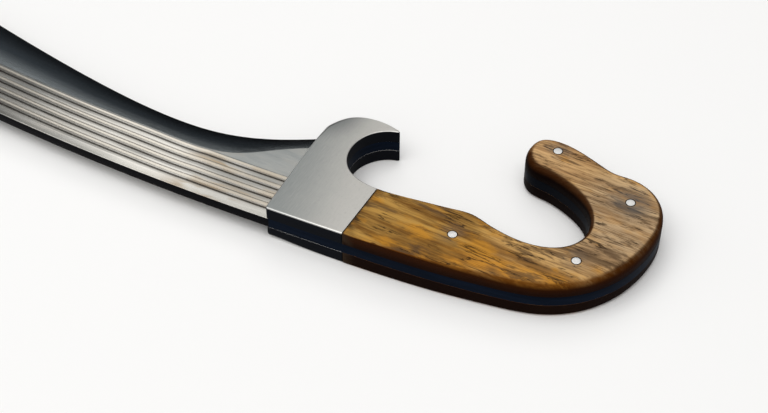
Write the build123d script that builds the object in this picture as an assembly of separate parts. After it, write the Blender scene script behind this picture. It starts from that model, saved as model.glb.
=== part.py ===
# A forward-curved short sword of the falcata kind, lying on its side.
# +X runs from the blade to the pommel, +Y from the spine to the cutting edge,
# +Z square to the flat of the blade. The origin is on the outer face of the
# lower guard plate, which is what the hilt rests on. All sizes are millimetres.
from build123d import *
from math import cos, degrees, radians, sin, tan
import os

# Thicknesses
stock_thickness = 5.0        # blade and tang, one bar of steel
side_thickness = 6.25        # each guard plate and each grip scale
edge_thickness = 0.5         # the cutting edge, left a little blunt
tip_thickness = 3.2          # the spine at the point, after the distal taper
taper_start = 0.4            # share of the blade's length where that taper begins
wedge_reach = 3.0            # how far the bevel's cutter stands past face and edge
wedge_past = 8.0             # and past the point

# Guard and grip
front_x = -18.9              # front face of the guard plates where y = 0
front_tilt = 4.0             # degrees, that face leans towards the grip at the edge side
joint_x = 18.0               # joint of guard plate and grip scale where y = 0
joint_tilt = 7.6             # degrees
guard_spine_y = -12.6        # spine side of the guard at its front
joint_spine_y = -15.2        # spine side at the joint
grip_spine_y = -16.7         # spine side at the middle of the grip
grip_palm_y = 16.0           # edge side at the swell of the grip
joint_palm_y = 15.2          # edge side at the joint
grip_length = 74.0           # from the joint to the middle of the pommel's opening
pommel_y = 30.0              # middle of the pommel's opening
hook_root_y = 45.0           # where the guard's hook meets its front face
hook_tip_x = 16.5            # end of the guard's hook
hook_tip_y = 51.6
hook_tip_width = 1.0
guard_chamfer = 0.4
scale_rounding = 2.5

# Pins
grip_pin_diameter = 4.0
guard_pin_diameter = 4.8
pin_clearance = 0.0          # the pins are peened, so they fill their holes

# Blade, measured along its spine from the front of the guard
blade_length = 532.0
spine_slope = 3.9            # degrees, at the guard
first_arc_radius = 1250.0    # the spine bends towards the edge side
first_arc_length = 290.0
second_arc_radius = 640.0    # then it bends back
third_arc_radius = 95.0      # and drops to the point
third_arc_length = 34.0

# Fullers, the grooves along each flat
fuller_count = 4
fuller_width = 3.8
fuller_depth = 0.85
fuller_first = 6.7           # middle of the first groove from the spine
fuller_pitch = 5.9
fuller_length = 372.0

mid_z = side_thickness + stock_thickness / 2
hilt_thickness = stock_thickness + 2 * side_thickness
hilt_spans = 8                # edges that the hilt's long curve is cut into
edge_spans = 4                # and the cutting edge's
pommel_x = joint_x + grip_length
swell_x = joint_x + 0.6 * grip_length
front_spine_x = front_x + guard_spine_y * tan(radians(front_tilt))
front_hook_x = front_x + hook_root_y * tan(radians(front_tilt))
second_arc_length = blade_length - first_arc_length - third_arc_length

# Where the pins stand. Those of the pommel follow it.
grip_pins = {
    "front": (joint_x + 0.55 * grip_length, 1.1),
    "heel": (pommel_x + 18.5, pommel_y - 24.8),
    "crown": (pommel_x + 30.4, pommel_y + 15.8),
    "beak": (pommel_x - 7.3, pommel_y + 35.4),
}
guard_pins = {
    "spine": (-9.0, -5.0),
    "grip": (9.0, 3.0),
    "hook": (-8.0, 32.0),
}

# Blade at shares of its length: its width square to the spine, and how much
# of that the bevel takes. Past the point the bevel's line is only continued.
blade_rows = [
    (0.0, 57.4, 9.2), (0.028, 49.9, 10.0), (0.055, 44.1, 13.4), (0.09, 39.7, 13.4),
    (0.13, 38.5, 12.2), (0.19, 40.3, 14.0), (0.26, 44.2, 17.9), (0.35, 49.6, 23.3),
    (0.46, 55.4, 29.1), (0.57, 58.6, 32.3), (0.68, 58.0, 32.0), (0.78, 52.8, 29.2),
    (0.87, 42.5, 24.7), (0.94, 27.5, 18.0), (0.98, 13.2, 12.0), (1.0, 1.2, 9.0),
]


def spine_frame(station):
    """A point of the spine and the direction square to it, towards the edge."""
    runs = [
        (first_arc_length, 1 / first_arc_radius),
        (second_arc_length, -1 / second_arc_radius),
        (third_arc_length, 1 / third_arc_radius),
    ]
    slope = radians(spine_slope)
    x, y = front_spine_x, guard_spine_y
    if station <= 0:
        return x - station * cos(slope), y + station * sin(slope), slope
    for length, bend in runs:
        step = min(station, length)
        turned = slope + step * bend
        x -= (sin(turned) - sin(slope)) / bend
        y += (cos(slope) - cos(turned)) / bend
        slope = turned
        station -= step
        if station <= 0:
            break
    return x, y, slope


def blade_point(station, distance):
    """The point at one distance from the spine, square to it."""
    x, y, slope = spine_frame(station)
    return (x + distance * sin(slope), y + distance * cos(slope))


def bevel_section(station, width, bevel):
    """Wedge that takes one side of the bevel off, reaching past face and edge."""
    x, y, slope = spine_frame(station)
    half = stock_thickness / 2
    rim = edge_thickness / 2
    rise = (half - rim) / bevel
    plane = Plane(
        origin=(x, y, mid_z),
        x_dir=Vector(sin(slope), cos(slope), 0),
        z_dir=Vector(cos(slope), -sin(slope), 0),
    )
    inner = (width - bevel - wedge_reach, half + rise * wedge_reach)
    outer = (width + wedge_reach, rim - rise * wedge_reach)
    corner = (width + wedge_reach, half + rise * wedge_reach)
    return plane * make_face(Polyline(inner, outer, corner, close=True))


def bevel_cutter():
    """The wedge along the upper side of the cutting edge."""
    sections = [bevel_section(share * blade_length, width, bevel) for share, width, bevel in blade_rows]
    last_share, last_width, last_bevel = blade_rows[-1]
    past = last_share * blade_length + wedge_past
    sections.append(bevel_section(past, last_width - 2 * wedge_past, last_bevel))
    return loft(sections, ruled=False)


def taper_cutter():
    """A flat block that thins the upper side towards the point."""
    start = blade_point(taper_start * blade_length, 0)
    end = blade_point(blade_length, 0)
    run = start[0] - end[0]
    fall = (stock_thickness - tip_thickness) / 2
    top = mid_z + stock_thickness / 2
    profile = Polyline(
        (start[0], top), (start[0] - 2 * run, top - 2 * fall), (start[0] - 2 * run, top + fall),
        (start[0], top + fall), close=True,
    )
    return extrude(Plane.XZ * make_face(profile), amount=blade_length, both=True)


def groove_run(distance, near, far, bend):
    """A round bar turned about the centre of one of the spine's arcs."""
    x, y, slope = spine_frame(near)
    centre = blade_point(near, 1 / bend)
    radius = (fuller_width ** 2 / 4 + fuller_depth ** 2) / (2 * fuller_depth)
    height = mid_z + stock_thickness / 2 - fuller_depth + radius
    plane = Plane(
        origin=(*blade_point(near, distance), height),
        x_dir=Vector(sin(slope), cos(slope), 0),
        z_dir=Vector(cos(slope), -sin(slope), 0),
    )
    turn = degrees((far - near) * abs(bend))
    axis = Axis((*centre, 0), (0, 0, -1 if bend > 0 else 1))
    return revolve(plane * Circle(radius), axis=axis, revolution_arc=turn)


def fuller_cutters(distance):
    """The two runs of one groove, along the spine's first and second arc."""
    return [
        groove_run(distance, 0, first_arc_length, 1 / first_arc_radius),
        groove_run(distance, first_arc_length, fuller_length, -1 / second_arc_radius),
    ]


def spine_arcs():
    """The back of the blade, from the guard to the point, as three arcs."""
    ends = [0, first_arc_length, blade_length - third_arc_length, blade_length]
    arcs = []
    for near, far in zip(ends[:-1], ends[1:]):
        stops = [blade_point(station, 0) for station in (near, (near + far) / 2, far)]
        arcs.append(ThreePointArc(*stops))
    return arcs


def spans(curve, count):
    """The same curve as a few edges, because one very long edge gives a poor volume."""
    return [curve.trim(part / count, (part + 1) / count) for part in range(count)]


def hilt_curves():
    """Edges of the hilt from the spine, round the pommel, to the hook's root."""
    px, py = pommel_x, pommel_y
    spine_side = [
        (front_spine_x, guard_spine_y), (-2, (guard_spine_y + joint_spine_y) / 2),
        (joint_x, joint_spine_y), (joint_x + 0.52 * grip_length, grip_spine_y),
    ]
    pommel_outer = [
        (px - 11, py - 46.1), (px + 12, py - 42.8), (px + 26, py - 35.2), (px + 37.5, py - 22.5),
        (px + 44, py - 8), (px + 46.2, py + 6), (px + 43.6, py + 18.5), (px + 36, py + 27.6),
        (px + 26, py + 31.3), (px + 20, py + 31.8), (px + 13, py + 34.6), (px + 2, py + 39.8),
        (px - 9, py + 42.6), (px - 16.5, py + 41), (px - 19.7, py + 35.5),
    ]
    pommel_inner = [
        (px - 19.7, py + 28.5), (px - 16, py + 23), (px - 8, py + 20.2), (px + 2, py + 16),
        (px + 10.5, py + 10.2), (px + 16.6, py + 2), (px + 17.8, py - 8), (px + 12, py - 17.4),
        (px, py - 21.6), (px - 14, py - 19.8),
    ]
    palm_side = [
        (swell_x + 7.6, grip_palm_y - 3), (swell_x, grip_palm_y - 0.1),
        (swell_x - 8.5, grip_palm_y), (joint_x + 20, joint_palm_y + 0.1), (joint_x + 2, joint_palm_y),
    ]
    guard_inner = [
        (10, 17.8), (4, 22.3), (0.4, 30), (0.6, 38), (5.5, 46.7),
        (hook_tip_x - 2.4, hook_tip_y - 0.3), (hook_tip_x, hook_tip_y),
    ]
    guard_outer = [
        (hook_tip_x, hook_tip_y + hook_tip_width), (hook_tip_x - 5.5, hook_tip_y + 2.8),
        (1, hook_tip_y + 4), (-8, hook_tip_y + 2), (-13.2, hook_tip_y - 2.4), (front_hook_x, hook_root_y),
    ]
    inside = Spline(*spine_side, *pommel_outer, *pommel_inner, *palm_side, *guard_inner)
    outside = Spline(*guard_outer)
    tip = Line(inside @ 1, outside @ 0)
    return [*spans(inside, hilt_spans), tip, outside]


def hilt_outline():
    """Outline of the hilt, which the guard plates and the scales share."""
    curves = hilt_curves()
    front = Line(curves[-1] @ 1, curves[0] @ 0)
    return make_face(Wire([*curves, front]))


def bar_outline():
    """Outline of the whole bar: the hilt's, run on into the blade."""
    curves = hilt_curves()
    spine = spine_arcs()
    edge_points = [blade_point(share * blade_length, width) for share, width, _ in blade_rows]
    edge = Spline(curves[-1] @ 1, *edge_points[1:])
    point = Line(edge @ 1, spine[-1] @ 1)
    return make_face(Wire([*curves, *spans(edge, edge_spans), point, *spine]))


def plate(outline, bottom, thickness):
    return extrude(Plane.XY.offset(bottom) * outline, amount=thickness)


def joint_side(towards_pommel):
    """A block that covers everything on one side of the guard joint."""
    reach = 3 * (blade_length + grip_length)
    shift = reach / 2 if towards_pommel else -reach / 2
    turn = Location((joint_x, 0, mid_z), (0, 0, -joint_tilt))
    return turn * Pos(shift, 0, 0) * Box(reach, reach, 10 * hilt_thickness)


def pin(place, diameter):
    return Pos(*place, hilt_thickness / 2) * Cylinder(diameter / 2, hilt_thickness)


def drill(body, places, diameter):
    for place in places.values():
        body = body - pin(place, diameter + pin_clearance)
    return body


def outer_rim(body, face_z):
    """Edges of the outer face, without the straight one along the joint."""
    rim = body.faces().filter_by(Plane.XY).sort_by(lambda face: abs(face.center().Z - face_z))[0]
    return [edge for edge in rim.outer_wire().edges() if edge.geom_type != GeomType.LINE or edge.length < 3]


def make_blade():
    body = plate(bar_outline(), side_thickness, stock_thickness)
    middle = Plane.XY.offset(mid_z)
    for cutter in (bevel_cutter(), taper_cutter()):
        body = body - cutter
        body = body - mirror(cutter, about=middle)
    for row in range(fuller_count):
        for cutter in fuller_cutters(fuller_first + row * fuller_pitch):
            body = body - cutter
            body = body - mirror(cutter, about=middle)
    body = drill(body, grip_pins, grip_pin_diameter)
    return drill(body, guard_pins, guard_pin_diameter)


def make_guard_plate(bottom, face_z):
    body = plate(hilt_outline(), bottom, side_thickness) & joint_side(False)
    body = chamfer(outer_rim(body, face_z), guard_chamfer)
    return drill(body, guard_pins, guard_pin_diameter)


def make_scale(bottom, face_z):
    body = plate(hilt_outline(), bottom, side_thickness) & joint_side(True)
    body = fillet(outer_rim(body, face_z), scale_rounding)
    return drill(body, grip_pins, grip_pin_diameter)


def main():
    upper = side_thickness + stock_thickness
    pieces = {
        "blade_and_tang": make_blade(),
        "upper_guard_plate": make_guard_plate(upper, hilt_thickness),
        "lower_guard_plate": make_guard_plate(0, 0),
        "upper_grip_scale": make_scale(upper, hilt_thickness),
        "lower_grip_scale": make_scale(0, 0),
    }
    for name, place in grip_pins.items():
        pieces[name + "_grip_pin"] = pin(place, grip_pin_diameter)
    for name, place in guard_pins.items():
        pieces[name + "_guard_pin"] = pin(place, guard_pin_diameter)
    os.makedirs("parts", exist_ok=True)
    for name, body in pieces.items():
        solids = body.solids()
        print(name, len(solids), "solid", round(sum(solid.volume for solid in solids), 1), "mm3")
        export_step(solids[0] if len(solids) == 1 else body, f"parts/{name}.step")


main()
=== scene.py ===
from math import cos, pi, radians, sin

import bpy
import numpy as np
from mathutils import Matrix, Vector


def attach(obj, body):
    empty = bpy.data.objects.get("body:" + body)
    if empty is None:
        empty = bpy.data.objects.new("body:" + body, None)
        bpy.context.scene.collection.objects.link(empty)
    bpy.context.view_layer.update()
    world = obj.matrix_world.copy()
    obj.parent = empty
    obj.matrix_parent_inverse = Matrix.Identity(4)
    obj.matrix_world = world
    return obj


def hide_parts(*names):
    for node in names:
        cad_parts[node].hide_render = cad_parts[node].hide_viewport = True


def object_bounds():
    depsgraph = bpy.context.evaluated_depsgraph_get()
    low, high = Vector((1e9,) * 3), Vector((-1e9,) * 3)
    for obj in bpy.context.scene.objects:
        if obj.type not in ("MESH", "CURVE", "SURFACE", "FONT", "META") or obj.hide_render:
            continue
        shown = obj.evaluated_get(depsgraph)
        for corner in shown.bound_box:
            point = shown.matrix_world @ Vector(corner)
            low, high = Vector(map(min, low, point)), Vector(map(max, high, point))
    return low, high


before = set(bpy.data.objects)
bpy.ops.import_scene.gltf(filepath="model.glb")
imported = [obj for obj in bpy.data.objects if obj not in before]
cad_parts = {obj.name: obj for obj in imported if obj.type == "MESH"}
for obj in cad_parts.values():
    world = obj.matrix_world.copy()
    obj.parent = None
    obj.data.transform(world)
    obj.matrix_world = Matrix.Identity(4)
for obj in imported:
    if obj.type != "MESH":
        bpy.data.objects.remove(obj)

cadLow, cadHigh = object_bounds()
mm = 0.001
metre = 1000             # in millimetres, for the finishes
body = "root"


# small helpers for meshes

def splineAt(knots, values, at):
    # natural cubic spline: each span is a straight blend of its ends plus a cubic
    # bow, and the bows are chosen so that slope and bend carry across each knot
    knots, values = np.asarray(knots, float), np.asarray(values, float)
    gaps = np.diff(knots)
    count = len(knots)
    inner = np.arange(1, count - 1)
    system = np.eye(count)
    system[inner, inner - 1] = gaps[:-1]
    system[inner, inner] = 2 * (gaps[:-1] + gaps[1:])
    system[inner, inner + 1] = gaps[1:]
    slopes = np.diff(values, axis=0) / gaps[:, None]
    target = np.zeros_like(values)
    target[1:-1] = 6 * np.diff(slopes, axis=0)
    bends = np.linalg.solve(system, target)
    span = np.clip(np.searchsorted(knots, at, side="right") - 1, 0, count - 2)
    gap = gaps[span][:, None]
    far = (at - knots[span])[:, None] / gap
    near = 1 - far
    bow = (near ** 3 - near) * bends[span] + (far ** 3 - far) * bends[span + 1]
    return near * values[span] + far * values[span + 1] + bow * gap ** 2 / 6


def lengthsAlong(path):
    steps = np.linalg.norm(np.diff(path[:, :2], axis=0), axis=1)
    return np.concatenate([[0], np.cumsum(steps)])


def curveThrough(points, count):
    # smooth curve whose knots are as far apart as the points are
    points = np.array(points, float)
    knots = lengthsAlong(points)
    return splineAt(knots, points, np.linspace(0, knots[-1], count))


def evenly(path, spacing):
    # the same path with its points one spacing apart
    along = lengthsAlong(path)
    at = np.linspace(0, along[-1], int(along[-1] / spacing) + 1)
    return np.stack([np.interp(at, along, column) for column in path.T], axis=1)


def softenCorners(path, reach):
    # running mean over a few neighbours, which rounds the corners in plan; past each end
    # the path goes on as its own image turned round, so the ends stay where they are
    before = 2 * path[:1] - path[1:reach + 1][::-1]
    after = 2 * path[-1:] - path[-reach - 1:-1][::-1]
    held = np.concatenate([before, path, after])
    window = np.ones(2 * reach + 1) / (2 * reach + 1)
    return np.stack([np.convolve(column, window, "valid") for column in held.T], axis=1)


def newPiece(name, points, faces, nodes, material, sharpAngle):
    mesh = bpy.data.meshes.new(name)
    mesh.from_pydata((points * mm).tolist(), [], faces)
    mesh.shade_smooth()
    mesh.set_sharp_from_angle(angle=radians(sharpAngle))
    mesh.materials.append(material)
    piece = bpy.data.objects.new(name, mesh)
    bpy.context.collection.objects.link(piece)
    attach(piece, body)
    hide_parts(*nodes)
    return piece


def gridFaces(rows, columns, wrap=False):
    # quads between neighbouring rows and columns, each row's points in sequence
    row = np.arange(rows - 1)[:, None]
    column = np.arange(columns if wrap else columns - 1)[None, :]
    after = (column + 1) % columns
    quads = np.stack([
        row * columns + column, row * columns + after,
        (row + 1) * columns + after, (row + 1) * columns + column,
    ], axis=-1)
    return quads.reshape(-1, 4).tolist()


# materials are written as sums: a Wire is a socket that adds its own maths nodes
class Wire:
    def __init__(self, bench, socket):
        self.bench = bench
        self.socket = socket

    def math(self, operation, *others, clamp=False):
        values = dict(enumerate((self, *others)))
        settings = {"operation": operation, "use_clamp": clamp}
        return self.bench.node("ShaderNodeMath", settings, values)

    def __add__(self, other):
        return self.math("ADD", other)

    def __sub__(self, other):
        return self.math("SUBTRACT", other)

    def __mul__(self, other):
        return self.math("MULTIPLY", other)

    def __rsub__(self, other):
        return self.bench.node("ShaderNodeMath", {"operation": "SUBTRACT"}, {0: other, 1: self})

    __radd__ = __add__
    __rmul__ = __mul__

    def size(self):
        return self.math("ABSOLUTE")

    def clamped(self):
        return self.math("ADD", 0.0, clamp=True)

    def rise(self, low, high):
        # 0 below the low value, 1 above the high one, smooth between
        values = {"Value": self, "From Min": low, "From Max": high}
        return self.bench.node("ShaderNodeMapRange", {"interpolation_type": "SMOOTHSTEP"}, values)

    def ridge(self, middle, halfWidth, softness):
        # 1 within halfWidth of the middle value, falling to 0 over the softness
        return 1 - (self - middle).size().rise(halfWidth, halfWidth + softness)


class Bench:
    def __init__(self, owner):
        # owner is whatever holds the node tree: a material or the world
        self.owner = owner
        owner.use_nodes = True
        self.tree = owner.node_tree
        self.tree.nodes.clear()

    def node(self, kind, settings=None, values=None, out=0):
        # settings first, then each socket's value or link; gives back one output or all
        made = self.tree.nodes.new(kind)
        for key, value in (settings or {}).items():
            setattr(made, key, value)
        for key, value in (values or {}).items():
            if isinstance(value, Wire):
                self.tree.links.new(value.socket, made.inputs[key])
            else:
                made.inputs[key].default_value = value
        if out == "all":
            return [Wire(self, socket) for socket in made.outputs]
        return Wire(self, made.outputs[out]) if len(made.outputs) else None

    def mix(self, factor, first, second):
        settings = {"data_type": "RGBA", "clamp_factor": True}
        first = first if isinstance(first, Wire) else (*first, 1)
        second = second if isinstance(second, Wire) else (*second, 1)
        return self.node("ShaderNodeMix", settings, {0: factor, 6: first, 7: second}, out=2)

    def place(self, scale, turn=0.0, vector=None):
        # object position, turned about Z and stretched; a large scale makes fine detail
        if vector is None:
            vector = self.node("ShaderNodeTexCoord", out="Object")
        if turn:
            values = {"Vector": vector, "Rotation": (0, 0, turn)}
            vector = self.node("ShaderNodeMapping", None, values)
        return self.node("ShaderNodeMapping", None, {"Vector": vector, "Scale": scale})

    def noise(self, vector, detail, roughness=0.55, distortion=0.0):
        values = {
            "Vector": vector, "Scale": 1.0, "Detail": detail,
            "Roughness": roughness, "Distortion": distortion,
        }
        return self.node("ShaderNodeTexNoise", None, values)

    def parts(self, vector):
        return self.node("ShaderNodeSeparateXYZ", None, {0: vector}, out="all")

    def spot(self):
        # object position in millimetres, as three wires
        place = self.node("ShaderNodeTexCoord", out="Object")
        return [part * metre for part in self.parts(place)]

    def inPlan(self, x, y):
        return self.node("ShaderNodeCombineXYZ", None, {0: x, 1: y})

    def gap(self, flatSpot, place):
        # distance in plan from one place, in millimetres
        values = {0: flatSpot, 1: (*place, 0)}
        return self.node("ShaderNodeVectorMath", {"operation": "DISTANCE"}, values, out="Value")

    def bump(self, height, strength, distance):
        values = {"Height": height, "Strength": strength, "Distance": distance}
        return self.node("ShaderNodeBump", None, values)

    def finish(self, varying, constant):
        shader = self.node("ShaderNodeBsdfPrincipled", None, {**constant, **varying})
        self.node("ShaderNodeOutputMaterial", None, {"Surface": shader})
        return self.owner


def newBench(name):
    return Bench(bpy.data.materials.new(name))


# the hilt outline, in millimetres; each point also holds the rounding of the
# upper and lower scale's outer edge there
hilt = {
    "thickness": 17.5,
    "sideThickness": 6.25,
    "stock": 5.0,
    "jointX": 18.0,
    "jointTilt": 7.6,
    "spacing": 0.4,
    "roundSteps": 9,
    "seamChamfer": 0.03,
    "jointGap": 0.1,
    "leastRounding": 0.15,
    "flatLead": 0.06,            # the first of the flat beyond the rounding
    "tangPlay": 0.02,
    "sharpAngle": 40,
    "line": [
        (-19.78, -12.6, .45, .5), (-2, -13.9, .45, .5), (18, -15.2, .45, .5),
        (56.5, -16.7, 1.5, .8), (81, -16.1, 3.4, 1.3), (104, -12.8, 4.2, 1.4),
        (118, -5.2, 4.3, 1.6), (129.5, 7.5, 4.2, 2.6),
        (136, 22, 4, 3.2), (138.2, 36, 3.4, 3.2), (135.6, 48.5, 2.6, 2.6), (128, 57.6, 2.5, 2),
        (118, 61.3, 2.5, 2), (112, 61.8, 2.4, 2), (105, 64.6, 2.4, 2), (94, 69.8, 2.4, 2),
        (83, 72.6, 2.4, 2), (75.5, 71, 2.6, 2), (72.3, 65.5, 3.2, 2), (72.3, 58.5, 4.4, 2),
        (76, 53, 5, 2), (84, 50.2, 4.6, 2), (94, 46, 4.5, 2), (102.5, 40.2, 3.8, 2),
        (108.6, 32, 2.6, 2), (109.8, 22, 2.4, 2), (104, 12.6, 2, 1.6), (92, 8.4, 1.6, 1.5),
        (78, 10.2, 1.5, 1.5), (70, 13, 1.5, 1.5), (62.4, 15.9, 1.5, 1.5), (53.9, 16, 1.4, 1.4),
        (38, 15.3, 1, 1), (20, 15.2, .4, .5), (10, 17.8, .4, .4), (4, 22.3, .4, .4),
        (.4, 30, .4, .4), (.6, 38, .4, .4), (5.5, 46.7, .4, .4), (14.1, 51.3, .4, .4),
        (16.5, 51.6, .4, .4),
    ],
}

# the guard's hook outside and the front of the guard, with the plates' edge rounding
guard = {
    "rim": 0.4,
    "spineRim": 0.8,
    "hookOutside": [
        (16.5, 52.6, .8), (11, 54.4, .4), (1, 55.6, .4), (-8, 53.6, 1.5),
        (-13.2, 49.2, 2.5), (-15.75, 45, 2.4),
    ],
    "frontRounding": [(-12.6, .4), (31, .4), (37, 1.0), (45, 2.4)],
    "lowerCorner": 1.9,          # the lower plate's front corner is worn rounder
    "lowerCornerReach": 16.0,
    "cornerReach": 3,
}


def hiltPaths():
    inside = curveThrough(hilt["line"], 4000)
    tilt = radians(hilt["jointTilt"])
    past = (inside[:, 0] - hilt["jointX"]) * cos(tilt) - inside[:, 1] * sin(tilt)
    onGrip = np.flatnonzero(past > hilt["jointGap"])
    onGuard = np.flatnonzero(past < -hilt["jointGap"])
    split = onGuard[np.argmax(np.diff(onGuard) > 1)]
    grip = inside[onGrip[0]:onGrip[-1] + 1]
    spineSide, palmSide = inside[:split + 1], inside[onGrip[-1] + 1:]
    palmSide = palmSide[past[onGrip[-1] + 1:] < -hilt["jointGap"]]
    hook = curveThrough(guard["hookOutside"], 400)
    levels, rounding = np.array(guard["frontRounding"]).T
    y = np.linspace(hook[-1, 1], spineSide[0, 1], 300)
    x = np.interp(y, [spineSide[0, 1], hook[-1, 1]], [spineSide[0, 0], hook[-1, 0]])
    front = np.stack([x, y, np.interp(y, levels, rounding)], axis=1)[1:-1]
    sides = [(palmSide, guard["rim"]), (spineSide, guard["spineRim"])]
    rims = [np.column_stack([side[:, :2], np.full(len(side), rim)]) for side, rim in sides]
    guardPath = np.concatenate([rims[0], hook, front, rims[1]])
    return evenly(grip, hilt["spacing"]), evenly(guardPath, hilt["spacing"])


def inwardWay(path, closed):
    # left of the way along, square to it; at open ends it follows the joint line
    if closed:
        along = np.roll(path, -1, axis=0)[:, :2] - np.roll(path, 1, axis=0)[:, :2]
    else:
        along = np.gradient(path[:, :2], axis=0)
    along /= np.linalg.norm(along, axis=1)[:, None]
    inward = np.stack([-along[:, 1], along[:, 0]], axis=1)
    if not closed:
        tilt = radians(hilt["jointTilt"])
        joint = np.array([sin(tilt), cos(tilt)])
        for end in (0, -1):
            inward[end] = joint / (inward[end] @ joint)
    return inward


def edgedPlate(path, rounding, contactZ, outerZ, closed=False):
    # walls of the outline from the contact face up, then a quarter circle of the
    # local rounding radius, sunk inwards by radius * (1 - cos) and up by radius * sin
    height = abs(outerZ - contactZ)
    rise = 1 if outerZ > contactZ else -1
    seam = hilt["seamChamfer"]
    angles = np.linspace(0, pi / 2, hilt["roundSteps"])[:, None]
    r = np.clip(rounding, hilt["leastRounding"], None)[None, :]
    inset = np.concatenate([
        np.full((1, len(path)), seam), np.zeros((1, len(path))),
        r * (1 - np.cos(angles)), r + hilt["flatLead"],
    ])
    level = np.concatenate([
        np.zeros((1, len(path))), np.full((1, len(path)), seam),
        height - r + r * np.sin(angles), np.full((1, len(path)), height),
    ])
    inward = inwardWay(path, closed)
    plan = path[None, :, :2] + inset[:, :, None] * inward[None]
    z = contactZ + rise * level
    points = np.concatenate([plan, z[:, :, None]], axis=2)
    rings, count = level.shape
    faces = gridFaces(rings, count, wrap=closed)
    first = list(range(count))
    last = [(rings - 1) * count + index for index in range(count)]
    faces += [first[::-1], last]
    if not closed:
        start = [ring * count for ring in range(rings)]
        end = [ring * count + count - 1 for ring in range(rings)]
        faces.append(start + end[::-1])
    if rise < 0:
        faces = [face[::-1] for face in faces]
    return points.reshape(-1, 3), faces


def makeHilt(materials):
    grip, rim = hiltPaths()
    rim = softenCorners(rim, guard["cornerReach"])
    upper, lower = hilt["sideThickness"] + hilt["stock"], hilt["sideThickness"]
    top = hilt["thickness"]
    steel, wood, dark = materials["guard"], materials["wood"], materials["tang"]
    corner = hilt["line"][0][:2]
    fromCorner = np.hypot(*(rim[:, :2] - corner).T) / guard["lowerCornerReach"]
    worn = rim[:, 2] + guard["lowerCorner"] * np.exp(-fromCorner ** 2)
    plates = [
        ("upperGuardPlate", "upper_guard_plate", rim, rim[:, 2], upper, top, "guard_steel", steel),
        ("lowerGuardPlate", "lower_guard_plate", rim, worn, lower, 0, "guard_steel", steel),
        ("upperGripScale", "upper_grip_scale", grip, grip[:, 2], upper, top, "grip_wood", wood),
        ("lowerGripScale", "lower_grip_scale", grip, grip[:, 3], lower, 0, "grip_wood", wood),
    ]
    for name, node, path, rounding, contact, outer, slotName, material in plates:
        points, faces = edgedPlate(path, rounding, contact, outer)
        newPiece(name, points, faces, [node], material, hilt["sharpAngle"])
    # the tang fills the whole outline between the plates and scales
    whole = np.concatenate([grip[:, :2], rim[:, :2]])
    rounding = np.full(len(whole), hilt["leastRounding"])
    play = hilt["tangPlay"]
    points, faces = edgedPlate(whole, rounding, lower + play, upper - play, closed=True)
    newPiece("tang", points, faces, ["blade_and_tang"], dark, hilt["sharpAngle"])
    print("hilt:", len(plates), "plates and the tang")


# the blade's spine is straight inside the guard and then three arcs, each a length and
# a radius; its sizes are in millimetres
blade = {
    "length": 532.0,
    "slope": 3.9,
    "start": (-19.78, -12.6),
    "arcs": [(290, 1250), (208, -640), (34, 95)],
    "insideGuard": 3.0,
    "half": 2.5,
    "rim": 0.25,
    "tipHalf": 1.6,
    "taperFrom": 0.4,
    "spineRound": 0.35,
    "fullers": 4,
    "fullerWidth": 3.8,
    "fullerDepth": 0.85,
    "fullerFirst": 6.7,
    "fullerPitch": 5.9,
    "fullerEnd": (352.0, 372.0),
    "flatTo": 26.3,              # the far edge of the last groove
    "plainFrom": 26.5,           # the plain strip before the bevel
    "grooveEdge": 0.12,          # points just outside each groove's edge
    "stripLeft": 0.985,          # the most of a narrow flat that the grooves may take
    "leastSqueeze": 0.95,        # the grooves get no narrower than this share
    "heelRun": 16.0,             # the bevel runs out softly over this length at the guard
    "heelSoft": 0.5,
    "ridgeSoft": 0.02,
    "bevelColumns": 17,
    "sharpAngle": 22,
    "steps": [(0, 60, 1.0), (60, 200, 1.6), (200, 460, 3.0), (460, 524, 1.5)],
    "pointRows": 14,
    # share of the length, width of the blade, width of the bevel
    "rows": [
        (0, 57.4, 9.2), (.028, 49.9, 10), (.055, 44.1, 13.4), (.09, 39.7, 13.4),
        (.13, 38.5, 12.2), (.19, 40.3, 14), (.26, 44.2, 17.9), (.35, 49.6, 23.3),
        (.46, 55.4, 29.1), (.57, 58.6, 32.3), (.68, 58, 32), (.78, 52.8, 29.2),
        (.87, 42.5, 24.7), (.94, 27.5, 18), (.98, 13.2, 12), (1, 1.2, 9),
    ],
}


def spineFrame(station):
    # straight inside the guard, then one arc after another: on an arc the slope
    # grows by the length over the radius, and the point moves round its centre
    slope = np.full(len(station), radians(blade["slope"]))
    before = np.minimum(station, 0)
    x = blade["start"][0] - before * np.cos(slope)
    y = blade["start"][1] + before * np.sin(slope)
    left = np.maximum(station, 0)
    for length, radius in blade["arcs"]:
        step = np.clip(left, 0, length)
        turned = slope + step / radius
        x = x - (np.sin(turned) - np.sin(slope)) * radius
        y = y + (np.cos(slope) - np.cos(turned)) * radius
        slope = turned
        left = left - step
    return x, y, slope


def fullerLevels():
    # where the section's points lie across the grooved flat, in millimetres
    half = blade["fullerWidth"] / 2
    outside = half + blade["grooveEdge"]
    inside = half * np.sin(np.linspace(-pi / 2, pi / 2, 11))
    across = np.concatenate([[-outside], inside, [outside]])
    middles = blade["fullerFirst"] + blade["fullerPitch"] * np.arange(blade["fullers"])
    return (middles[:, None] + across[None, :]).ravel()


def grooveDepth(distance, station):
    # circular hollow: the chord's height under a round cutter, fading at the far end
    width, depth = blade["fullerWidth"], blade["fullerDepth"]
    radius = (width ** 2 / 4 + depth ** 2) / (2 * depth)
    middles = blade["fullerFirst"] + blade["fullerPitch"] * np.arange(blade["fullers"])
    off = np.abs(distance[:, :, None] - middles).min(axis=2)
    hollow = np.sqrt(np.maximum(radius ** 2 - off ** 2, 0)) - (radius - depth)
    near, far = blade["fullerEnd"]
    fade = np.sqrt(np.clip((far - station) / (far - near), 0, 1))
    return np.maximum(hollow, 0) * fade


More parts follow.
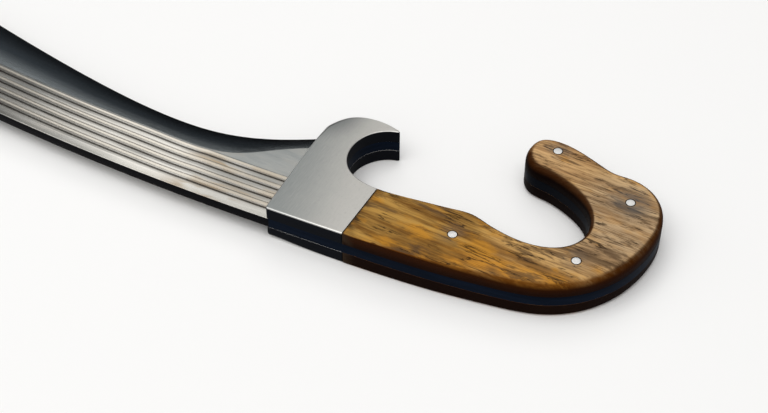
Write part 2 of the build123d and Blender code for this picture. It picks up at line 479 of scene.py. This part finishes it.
def stationsAlong():
    # close together by the guard and at the point, further apart between
    runs = [np.arange(*step) for step in blade["steps"]]
    left = blade["length"] - blade["steps"][-1][1]
    point = blade["length"] - left * np.linspace(1, 0, blade["pointRows"]) ** 1.6
    return np.concatenate([np.linspace(-blade["insideGuard"], 0, 3)[:-1], *runs, point])


def sectionSizes(station, x):
    # width and bevel follow the rows, and the flat thins towards the point in step with
    # x; the bevel's plane, rim + rise * (width - across), meets the flat at the turn
    length, half, rim = blade["length"], blade["half"], blade["rim"]
    shares, widths, bevels = np.array(blade["rows"]).T
    shape = splineAt(shares, np.stack([widths, bevels], axis=1), np.clip(station / length, 0, 1))
    width, bevel = shape[:, :1], shape[:, 1:]
    startX = spineFrame(np.array([blade["taperFrom"] * length]))[0]
    endX = spineFrame(np.array([length]))[0]
    thinned = np.clip((startX - x) / (startX - endX), 0, 1)
    flatHalf = half - (half - blade["tipHalf"]) * thinned
    rise = (half - rim) / bevel
    turn = np.clip(width - (flatHalf - rim) / rise, 0.25 * width, None)
    return width, flatHalf, rise, turn


def acrossFlat(width, turn, spineRadius):
    # where the points lie across the upper side: grooved flat, plain strip, bevel; where
    # the flat is narrow they squeeze up, and by the point they spread out evenly
    squeeze = np.minimum(1, blade["stripLeft"] * turn / blade["flatTo"])
    levels, plainFrom = fullerLevels()[None, :], blade["plainFrom"]
    evenLevels = plainFrom * np.linspace(0.17, 0.99, levels.size)[None, :]
    kept = np.clip((squeeze - 0.1) / 0.6, 0, 1)
    levels = levels * kept + evenLevels * (1 - kept)
    pushed = (spineRadius + 0.02) * (1 - levels / plainFrom) * (1 - squeeze)
    grooved = levels * squeeze + pushed
    plainStart = plainFrom * squeeze
    strip = plainStart + (turn - plainStart) * np.linspace(0, 1, 4)[None, :]
    share = np.linspace(0, 1, blade["bevelColumns"])[None, 1:] ** 1.15
    fallen = turn + (width - turn) * share
    across = np.concatenate([grooved, strip, fallen], axis=1)
    return across, squeeze, grooved.shape[1] + strip.shape[1]


def keepCrisp(mesh, count, columns):
    # edges that run along these columns of the section stay sharp
    ends = np.zeros(2 * len(mesh.edges), int)
    mesh.edges.foreach_get("vertices", ends)
    sharp = np.zeros(len(mesh.edges), bool)
    mesh.edges.foreach_get("use_edge_sharp", sharp)
    along = np.isin(ends.reshape(-1, 2) % count, columns).all(axis=1)
    mesh.edges.foreach_set("use_edge_sharp", sharp | along)


def makeBlade(material):
    # half the thickness is the lower of two heights, the flat less its grooves and the
    # bevel's plane, eased where they cross; the lower side mirrors the upper one
    station = stationsAlong()
    x, y, slope = [column[:, None] for column in spineFrame(station)]
    s = station[:, None]
    width, flatHalf, rise, turn = sectionSizes(station, x)
    r = np.minimum(blade["spineRound"], 0.12 * width)
    flatAcross, squeeze, plainColumns = acrossFlat(width, turn, r)
    # the grooves close up where the flat is narrow, which leaves a strip by the bevel
    held = np.maximum(squeeze, blade["leastSqueeze"])
    flatTop = flatHalf - grooveDepth(flatAcross / held, s)
    bevelHalf = blade["rim"] + rise * (width - flatAcross)
    soft = blade["ridgeSoft"] + blade["heelSoft"] * np.exp(-np.maximum(s, 0) / blade["heelRun"])
    eased = np.maximum(soft - np.abs(flatTop - bevelHalf), 0) ** 2 / (4 * soft)
    top = np.maximum(np.minimum(flatTop, bevelHalf) - eased, 0.6 * blade["rim"])
    # the spine's corner is a quarter circle
    corner = np.linspace(0, pi / 2, 5)[None, :]
    roundAcross = r * (1 - np.cos(corner))
    roundTop = np.minimum(flatHalf, blade["rim"] + rise * width) - r + r * np.sin(corner)
    across = np.concatenate([roundAcross, flatAcross], axis=1)
    level = np.concatenate([roundTop, top], axis=1)
    ridge = corner.size + plainColumns - 1
    across = np.concatenate([across, across[:, ::-1]], axis=1)
    level = np.concatenate([level, -level[:, ::-1]], axis=1)
    rows, count = across.shape
    middle = hilt["sideThickness"] + hilt["stock"] / 2
    plan = [x + across * np.sin(slope), y + across * np.cos(slope)]
    points = np.stack([*plan, middle + level], axis=2).reshape(-1, 3)
    faces = gridFaces(rows, count, wrap=True)
    first = list(range(count))
    faces += [first[::-1], [(rows - 1) * count + index for index in first]]
    nodes = ["blade_and_tang"]
    piece = newPiece("blade", points, faces, nodes, material, blade["sharpAngle"])
    keepCrisp(piece.data, count, (ridge, count - 1 - ridge))
    # the finish reads metres along, metres across and the share of the bevel
    bevelShare = np.clip((across - turn) / (width - turn), -1, 1)
    along = np.broadcast_to(s, across.shape)
    layout = np.stack([along * mm, across / held * mm, bevelShare], axis=2)
    lay = piece.data.attributes.new("layout", "FLOAT_VECTOR", "POINT")
    lay.data.foreach_set("vector", layout.ravel().astype(np.float32))
    print("blade:", rows, "sections of", count, "points")


pins = {
    "gripDiameter": 4.0,
    "guardDiameter": 4.8,
    "sides": 56,
    "crown": 0.06,
    "sunk": 0.03,
    "sharpAngle": 60,
    # share of the radius, and how much the end has worn down there
    "wear": [(0.25, 0), (0.5, 0), (0.72, 0), (0.86, 0), (0.94, 0.01), (0.98, 0.03), (1.0, 0.09)],
    "grip": {
        "front": (58.7, 1.1), "heel": (110.5, 5.2), "crown": (122.4, 45.8), "beak": (84.7, 65.4),
    },
    "guard": {"spine": (-9, -5), "grip": (9, 3), "hook": (-8, 32)},
}


def pinSurface(place, diameter, low, high, crown):
    # profile turned about the pin's axis: a faintly domed end, a worn edge, the shank
    radius = diameter / 2
    share, worn = np.array(pins["wear"]).T
    dome = crown * (1 - share ** 2)
    radii = radius * np.concatenate([share, share[::-1]])
    heights = np.concatenate([low - dome + worn, (high + dome - worn)[::-1]])
    turn = np.arange(pins["sides"]) * 2 * pi / pins["sides"]
    ring = np.stack([np.cos(turn), np.sin(turn)], axis=1)
    plan = np.array(place) + radii[:, None, None] * ring[None]
    z = np.broadcast_to(heights[:, None, None], (*plan.shape[:2], 1))
    points = np.concatenate([plan, z], axis=2).reshape(-1, 3)
    sides, rows = pins["sides"], len(radii)
    poles = np.array([[*place, low - crown], [*place, high + crown]])
    faces = gridFaces(rows, sides, wrap=True)
    bottom, top = rows * sides, rows * sides + 1
    faces += [[bottom, (index + 1) % sides, index] for index in range(sides)]
    start = (rows - 1) * sides
    faces += [[top, start + index, start + (index + 1) % sides] for index in range(sides)]
    return np.concatenate([points, poles]), faces


def makePins(materials):
    top, sunk, angle = hilt["thickness"], pins["sunk"], pins["sharpAngle"]
    for name, place in pins["grip"].items():
        points, faces = pinSurface(place, pins["gripDiameter"], 0, top, pins["crown"])
        node = name + "_grip_pin"
        newPiece(name + "GripPin", points, faces, [node], materials["pin"], angle)
    for name, place in pins["guard"].items():
        points, faces = pinSurface(place, pins["guardDiameter"], sunk, top - sunk, 0)
        node = name + "_guard_pin"
        newPiece(name + "GuardPin", points, faces, [node], materials["guard"], angle)
    print("pins:", len(pins["grip"]) + len(pins["guard"]))


faintGloss = {"Specular IOR Level": 0.02}    # so that the dark sides stay dark


def facing(bench, low, high):
    # how far a surface is turned to the side: 0 on the flats, 1 on upright walls
    normal = bench.parts(bench.node("ShaderNodeNewGeometry", out="Normal"))
    return 1 - normal[2].size().rise(low, high)


bladeLook = {
    # how far each noise is stretched along and across the blade
    "brushedGrain": (25, 1100, 1),
    "streakGrain": (7, 330, 1),
    "cloudGrain": (16, 70, 1),
    "patchGrain": (30, 110, 1),
    "roughness": (0.15, 0.12, 0.06),     # least, added by the brushing, by the clouds
    "bump": (0.25, 0.00006),     # strength and height in metres
    "sideFrom": (0.2, 0.6),
    "bright": ((0.56, 0.545, 0.505), (0.74, 0.72, 0.675)),
    "cloud": (0.28, 0.29, 0.28),
    "byGuard": (0.19, 0.188, 0.175),
    "byGuardReach": (22, 60),
    "paintedFalloff": (0.22, 0.225, 0.22),
    "paintedFalloffReach": (104, 150),
    "tan": (0.27, 0.19, 0.10),
    "tanAt": (34, 8, 14),
    "wall": ((0.33, 0.305, 0.265), (0.175, 0.152, 0.120)),
    "shade": (0.125, 0.117, 0.106),
    "dull": (0.27, 0.265, 0.25),
    "plain": ((0.20, 0.215, 0.215), (0.27, 0.28, 0.275)),
    "bevel": ((0.50, 0.555, 0.58), (0.10, 0.125, 0.148), (0.012, 0.0155, 0.020)),
    "bevelStreak": (0.20, 0.21, 0.21),
    "paintedSideShade": (0.002, 0.002, 0.003),
}


def bladeFinish():
    look = bladeLook
    bench = newBench("brushedBladeSteel")
    layout = bench.node("ShaderNodeAttribute", {"attribute_name": "layout"}, out="Vector")
    along, over, share = bench.parts(layout)
    station, across = along * metre, over * metre
    flatPlan = bench.inPlan(along, over)
    brushed = bench.noise(bench.place(look["brushedGrain"], vector=flatPlan), 4, 0.6)
    streaks = bench.noise(bench.place(look["streakGrain"], vector=flatPlan), 5, 0.65)
    clouds = bench.noise(bench.place(look["cloudGrain"], vector=flatPlan), 3)
    patches = bench.noise(bench.place(look["patchGrain"], vector=flatPlan), 3, 0.6)
    # flats: bright, with soft darker patches and tan stain near the guard
    nearGuard = 1 - station.rise(*look["byGuardReach"])
    lit = bench.mix(streaks.rise(0.35, 0.7), *look["bright"])
    lit = bench.mix(clouds.rise(0.47, 0.75) * 0.7, lit, look["cloud"])
    lit = bench.mix(nearGuard * (0.45 + clouds.rise(0.35, 0.65) * 0.35), lit, look["byGuard"])
    # painted shade: the flats are painted greyer towards the point, where they catch less of the
    # light
    lit = bench.mix(station.rise(*look["paintedFalloffReach"]) * 0.55, lit, look["paintedFalloff"])
    stain = 0.10 + nearGuard * 0.35 + station.ridge(*look["tanAt"]) * 0.4
    lit = bench.mix(patches.rise(0.44, 0.60) * stain, lit, look["tan"])
    # place within the nearest groove, in millimetres from its middle
    first, pitch = blade["fullerFirst"], blade["fullerPitch"]
    inGroove = ((across - first + pitch / 2).math("FLOORED_MODULO", pitch)) - pitch / 2
    flatTo = blade["flatTo"]
    grooved = (1 - across.rise(flatTo - 0.1, flatTo + 0.3)) * across.rise(3.2, 4.2)
    grooved = grooved * (1 - station.rise(*blade["fullerEnd"]))
    # the wall turned to the spine is stained, the one turned away is darker
    wall = inGroove.rise(0.1, 0.9) * (1 - inGroove.rise(1.8, 2.1))
    stained = bench.mix(nearGuard * 0.65, *look["wall"])
    lit = bench.mix(wall * grooved * 0.8, lit, stained)
    shade = inGroove.ridge(-1.0, 0.5, 1.3) * (0.35 + patches * 0.9)
    lit = bench.mix(shade * grooved * 0.92, lit, look["shade"])
    # the lands between the grooves are duller on their spine side
    beyond = 1 - inGroove.rise(-2.95, -1.2) + inGroove.rise(2.2, 2.95) * 0.4
    dull = (0.25 + clouds.rise(0.35, 0.6) * 0.6) * beyond.clamped()
    lit = bench.mix((1 - inGroove.rise(-1.6, -0.6)) * dull * grooved, lit, look["dull"])
    # plain steel between the last groove and the bevel
    pastGrooves = across.rise(flatTo - 0.4, flatTo)
    lit = bench.mix(pastGrooves * 0.85, lit, bench.mix(patches.rise(0.35, 0.65), *look["plain"]))
    # bevel: painted darker towards the cutting edge as a painted dark reflection, with a painted
    # highlight by the ridge
    paintedRidgeGlint, below, paintedEdgeDark = look["bevel"]
    bevel = bench.mix(share.rise(-0.05, 0.5), paintedRidgeGlint, below)
    bevel = bench.mix(share.rise(0.3, 1.0), bevel, paintedEdgeDark)
    bevel = bench.mix(streaks.rise(0.4, 0.8) * (1 - share) * 0.3, bevel, look["bevelStreak"])
    colour = bench.mix(share.rise(0.0, 0.03), lit, bevel)
    # painted shade: the upright sides are painted nearly black
    side = facing(bench, *look["sideFrom"])
    colour = bench.mix(side * 0.998, colour, look["paintedSideShade"])
    base, fromBrush, fromClouds = look["roughness"]
    varying = {
        "Base Color": colour,
        "Metallic": 1 - side,
        "Roughness": base + brushed * fromBrush + clouds * fromClouds,
        "Normal": bench.bump(brushed * 0.6 + streaks * 0.4, *look["bump"]),
    }
    return bench.finish(varying, faintGloss)


guardLook = {
    "brushTurn": -82,
    "brushedGrain": (160, 2400, 2400),
    "cloudGrain": (38, 38, 38),
    "speckGrain": (900, 900, 900),
    "roughness": (0.33, 0.12, 0.06),
    "bump": (0.1, 0.00004),
    "sideFrom": (0.15, 0.70),
    "rimGlintFrom": (0.86, 0.995),
    "worn": ((0.235, 0.25, 0.247), (0.465, 0.455, 0.43)),
    "brushed": (0.66, 0.65, 0.62),
    "speck": (0.2, 0.21, 0.21),
    "hookShade": (0.115, 0.125, 0.13),
    "rim": (0.80, 0.79, 0.77),
    "paintedSideShade": (0.0025, 0.0033, 0.0055),
}


def guardFinish():
    look = guardLook
    bench = newBench("satinGuardSteel")
    brushed = bench.noise(bench.place(look["brushedGrain"], radians(look["brushTurn"])), 4, 0.6)
    clouds = bench.noise(bench.place(look["cloudGrain"]), 4, 0.6)
    specks = bench.noise(bench.place(look["speckGrain"]), 2)
    x, y = bench.spot()[:2]
    # brighter towards the grip, with fine brushing and dark specks
    colour = bench.mix((x + y * 0.1 + clouds * 14).rise(-14, 26), *look["worn"])
    colour = bench.mix(brushed.rise(0.35, 0.75) * 0.14, colour, look["brushed"])
    colour = bench.mix(specks.rise(0.55, 0.75) * 0.15, colour, look["speck"])
    # painted shade on the hook's outer shoulder, and a painted highlight on the crisp rims
    hookShade = (y - x * 0.4).rise(38, 56) * (1 - x.rise(-12, 4))
    colour = bench.mix(hookShade * 0.7, colour, look["hookShade"])
    colour = bench.mix(facing(bench, *look["rimGlintFrom"]) * 0.6, colour, look["rim"])
    # painted shade: the upright sides are painted nearly black
    side = facing(bench, *look["sideFrom"])
    colour = bench.mix(side * 0.997, colour, look["paintedSideShade"])
    base, fromBrush, fromClouds = look["roughness"]
    varying = {
        "Base Color": colour,
        "Metallic": 1 - side,
        "Roughness": base + brushed * fromBrush + clouds * fromClouds,
        "Normal": bench.bump(brushed * 0.6 + specks * 0.4, *look["bump"]),
    }
    return bench.finish(varying, faintGloss)


opening = {"middle": (92.0, 31.0), "reach": (33, 41)}


def inOpening(bench, flatSpot):
    # 1 on the walls that face into the pommel's opening, 0 round its outside
    return 1 - bench.gap(flatSpot, opening["middle"]).rise(*opening["reach"])


tangLook = {
    "grain": (30, 30, 420),
    "roughness": (0.34, 0.2),
    "bump": (0.2, 0.00005),
    "navy": ((0.0012, 0.0036, 0.0090), (0.0035, 0.0075, 0.017)),
    "openingShade": (0.001, 0.0015, 0.003),
}


def tangFinish():
    bench = newBench("darkTangSteel")
    streaks = bench.noise(bench.place(tangLook["grain"]), 4)
    base, fromStreaks = tangLook["roughness"]
    x, y = bench.spot()[:2]
    # painted shade: the tang's upright edge is painted a near-black navy, and darker still inside
    # the pommel's opening
    openingShade = inOpening(bench, bench.inPlan(x, y))
    colour = bench.mix(streaks.rise(0.3, 0.7), *tangLook["navy"])
    colour = bench.mix(openingShade * 0.8, colour, tangLook["openingShade"])
    varying = {
        "Base Color": colour,
        "Roughness": base + streaks * fromStreaks,
        "Normal": bench.bump(streaks, *tangLook["bump"]),
    }
    return bench.finish(varying, faintGloss)


pinLook = {
    "bright": ((0.56, 0.56, 0.55), (0.70, 0.70, 0.69)),
    "grain": (700, 700, 700),
    "roughness": (0.3, 0.15),
    "bump": (0.15, 0.00004),
}


def pinFinish():
    bench = newBench("brightPinSteel")
    specks = bench.noise(bench.place(pinLook["grain"]), 3)
    base, fromSpecks = pinLook["roughness"]
    varying = {
        "Base Color": bench.mix(specks.rise(0.3, 0.7), *pinLook["bright"]),
        "Roughness": base + specks * fromSpecks,
        "Normal": bench.bump(specks, *pinLook["bump"]),
    }
    return bench.finish(varying, {"Metallic": 1.0})


woodLook = {
    "grainTurn": 8,
    # stretch along the grain, across it and upwards; detail, roughness and distortion
    "fibres": ((70, 1500, 700), 5, 0.65, 0.3),
    "bands": ((20, 175, 100), 5, 0.62, 0.5),
    "warmth": ((48, 95, 60), 4, 0.6, 0.0),
    "blotches": ((38, 150, 90), 5, 0.68, 0.4),
    "lines": ((26, 330, 170), 4, 0.6, 0.6),
    "where": ((60, 160, 120), 3, 0.6, 0.0),
    "roughness": (0.46, 0.2),
    "bump": (0.5, 0.00022),
    # each pair is the dark and the light of the bands there
    "grip": ((0.150, 0.066, 0.014), (0.45, 0.255, 0.064)),
    "heel": ((0.24, 0.118, 0.034), (0.56, 0.33, 0.115)),
    "pommel": ((0.29, 0.190, 0.105), (0.53, 0.38, 0.225)),
    "beak": ((0.34, 0.190, 0.082), (0.64, 0.405, 0.190)),
    "pommelMiddle": (122, 34),
    "warm": (0.50, 0.225, 0.026),
    "golden": (0.58, 0.255, 0.035),
    "fibre": (0.10, 0.050, 0.018),
    "blotch": (0.085, 0.050, 0.027),
    "crack": (0.022, 0.012, 0.007),
    "halo": (0.10, 0.092, 0.085),
    "haloReach": {           # how far from each pin, and how strong
        "front": (8.5, 0.3), "heel": (8.5, 0.3), "crown": (13.0, 0.75), "beak": (8.5, 0.3),
    },
    "pinGap": (0.010, 0.007, 0.005),
    "edge": (0.105, 0.034, 0.003),
    "paintedPommelShade": (0.022, 0.0055, 0.0010),
    "wall": ((0.0075, 0.0018, 0.0007), (0.026, 0.0065, 0.0010)),
    "paintedLowShade": (0.0030, 0.0009, 0.0006),
    "jointDirt": (0.035, 0.022, 0.013),
}


def grainNoise(bench, name):
    stretch, detail, roughness, distortion = woodLook[name]
    vector = bench.place(stretch, radians(woodLook["grainTurn"]))
    return bench.noise(vector, detail, roughness, distortion)


def woodFinish():
    look = woodLook
    bench = newBench("oiledGripWood")
    fibres, bands = grainNoise(bench, "fibres"), grainNoise(bench, "bands")
    warm, blotches = grainNoise(bench, "warmth"), grainNoise(bench, "blotches")
    lines, where = grainNoise(bench, "lines"), grainNoise(bench, "where")
    x, y, z = bench.spot()
    flatSpot = bench.inPlan(x, y)
    # ground colour, from brown to golden, greyer and paler round the pommel
    pommel = 1 - bench.gap(flatSpot, look["pommelMiddle"]).rise(12, 50)
    beak = (1 - x.rise(88, 112)) * y.rise(40, 54)
    band = bands.rise(0.35, 0.66)
    colour = bench.mix(band, *look["grip"])
    colour = bench.mix(x.rise(62, 84), colour, bench.mix(band, *look["heel"]))
    colour = bench.mix(pommel * 0.9, colour, bench.mix(band, *look["pommel"]))
    colour = bench.mix(beak, colour, bench.mix(band, *look["beak"]))
    colour = bench.mix(warm.rise(0.48, 0.64) * (0.8 - pommel * 0.5), colour, look["warm"])
    golden = (1 - y.rise(-13, -2)) * x.rise(40, 75) * warm.rise(0.35, 0.55)
    colour = bench.mix(golden * 0.6, colour, look["golden"])
    # dark fibres, blotches and short cracks that follow the grain
    colour = bench.mix(fibres.rise(0.47, 0.68) * 0.62, colour, look["fibre"])
    colour = bench.mix(blotches.rise(0.51, 0.62) * 0.74, colour, look["blotch"])
    crack = (1 - (lines - 0.5).size().rise(0.005, 0.026)) * where.rise(0.44, 0.55)
    colour = bench.mix(crack * 0.85, colour, look["crack"])
    # grey halos and a dark ring round the pins
    for name, place in pins["grip"].items():
        gap = bench.gap(flatSpot, place)
        reach, strength = look["haloReach"][name]
        halo = (1 - gap.rise(2.4, reach)) * where.rise(0.36, 0.6) * strength
        colour = bench.mix(halo, colour, look["halo"])
        colour = bench.mix((1 - gap.rise(2.1, 2.45)) * 0.95, colour, look["pinGap"])
    # painted shade: the rounded edges are painted darker, most of all in the opening and on the
    # pommel
    edge = facing(bench, 0.80, 0.997) * (0.72 + blotches.rise(0.4, 0.6) * 0.28)
    colour = bench.mix(edge, colour, look["edge"])
    inward = inOpening(bench, flatSpot)
    pommelShadeMask = (inward + x.rise(116, 131) * 0.8).clamped() * facing(bench, 0.90, 0.996)
    colour = bench.mix(pommelShadeMask * 0.85, colour, look["paintedPommelShade"])
    # painted shade: the sides are painted nearly black, a little browner near the upper face,
    # darker still low down and in the opening
    lowShadeMask = (inward + (1 - z.rise(5.5, 7.5)) * 0.6).clamped()
    wall = bench.mix(lowShadeMask, bench.mix(z.rise(11.5, 16.8), *look["wall"]), look["paintedLowShade"])
    colour = bench.mix(facing(bench, 0.32, 0.86) * 0.985, colour, wall)
    # dirt has gathered against the guard
    tilt = radians(hilt["jointTilt"])
    fromJoint = (x - hilt["jointX"]) * cos(tilt) - y * sin(tilt)
    dirt = (1 - fromJoint.rise(0.4, 6.5)) * where.rise(0.38, 0.6)
    dirt = dirt + (1 - fromJoint.rise(0.2, 0.9)) * 0.8
    colour = bench.mix(dirt.clamped() * 0.75, colour, look["jointDirt"])
    height = 1 - (fibres * 0.35 + bands * 0.15 + crack * 0.5)
    base, fromFibres = look["roughness"]
    varying = {
        "Base Color": colour,
        "Roughness": base + fibres * fromFibres,
        "Normal": bench.bump(height, *look["bump"]),
    }
    return bench.finish(varying, faintGloss)


studio = {
    "eye": (0.19726, -0.43851, 0.49035),
    "azimuth": 21.008,
    "elevation": 44.8,
    "roll": 0.2,
    "lens": 75.0,
    "sensor": 36.0,
    "middle": (0.02, 0.02, 0.0),
    "floorColours": ((0.90, 0.90, 0.90), (0.882, 0.882, 0.882)),
    "floorReach": 4.0,
    "floorDrop": 0.0002,
    "world": 0.55,
    "flag": 0.05,                # dark screens low behind the object and on its left
    "flagBehind": (0.0, 0.35),
    "flagRise": (0.50, 0.66),
    "flagLeft": (-0.52, -0.42),
    "lights": [
        # name, direction from the middle, distance, width, height, power, colour
        ("backBox", (-0.20, 0.66, 0.74), 1.3, 1.02, 0.6, 1.9, (1, 0.99, 0.97)),
        ("topBox", (-0.12, -0.22, 1.0), 1.9, 2.2, 2.2, 29.0, (1, 0.99, 0.97)),
    ],
}


def makeRoom():
    # even soft light from all round, but dark low down on the far side
    room = Bench(bpy.data.worlds.new("room"))
    way = room.parts(room.node("ShaderNodeTexCoord"))
    behind = way[1].rise(*studio["flagBehind"])
    lit = way[2].rise(*studio["flagRise"]) * way[0].rise(*studio["flagLeft"])
    strength = (1 - behind * (1 - lit)) * (studio["world"] - studio["flag"]) + studio["flag"]
    light = room.node("ShaderNodeBackground", None, {"Color": (1, 1, 1, 1), "Strength": strength})
    room.node("ShaderNodeOutputWorld", None, {"Surface": light})
    return room.owner


def makeStudio():
    scene = bpy.context.scene
    eye = bpy.data.cameras.new("camera")
    eye.lens = studio["lens"]
    eye.sensor_width = studio["sensor"]
    camera = bpy.data.objects.new("camera", eye)
    azimuth, tilt = radians(studio["azimuth"]), radians(90 - studio["elevation"])
    turn = Matrix.Rotation(azimuth, 4, "Z") @ Matrix.Rotation(tilt, 4, "X")
    turn = turn @ Matrix.Rotation(radians(studio["roll"]), 4, "Z")
    camera.matrix_world = Matrix.Translation(studio["eye"]) @ turn
    scene.collection.objects.link(camera)
    scene.camera = camera
    middle = np.array(studio["middle"])
    for name, way, distance, width, height, power, colour in studio["lights"]:
        lamp = bpy.data.lights.new(name, "AREA")
        lamp.shape = "RECTANGLE"
        lamp.size, lamp.size_y = width, height
        lamp.energy = power
        lamp.color = colour
        holder = bpy.data.objects.new(name, lamp)
        way = np.array(way) / np.linalg.norm(way)
        spot = Matrix.Translation((middle + distance * way).tolist())
        holder.matrix_world = spot @ Vector(way).to_track_quat("Z", "Y").to_matrix().to_4x4()
        scene.collection.objects.link(holder)
    scene.world = makeRoom()
    scene.view_settings.view_transform = "Standard"
    print("studio:", len(studio["lights"]), "lights")


def makeFloor():
    bench = newBench("paleFloor")
    grey = bench.noise(bench.place((3, 3, 3)), 2)
    colour = bench.mix(grey, *studio["floorColours"])
    material = bench.finish({"Base Color": colour}, {"Roughness": 0.9})
    reach, level = studio["floorReach"], cadLow[2] - studio["floorDrop"]
    signs = [(-1, -1), (1, -1), (1, 1), (-1, 1)]
    corners = [(across * reach, along * reach, level) for across, along in signs]
    mesh = bpy.data.meshes.new("floor")
    mesh.from_pydata(corners, [], [[0, 1, 2, 3]])
    mesh.materials.append(material)
    floor = bpy.data.objects.new("floor", mesh)
    bpy.context.collection.objects.link(floor)


makeStudio()
makeFloor()
finishes = {
    "guard": guardFinish(), "wood": woodFinish(), "tang": tangFinish(), "pin": pinFinish(),
}
makeHilt(finishes)
makeBlade(bladeFinish())
makePins(finishes)
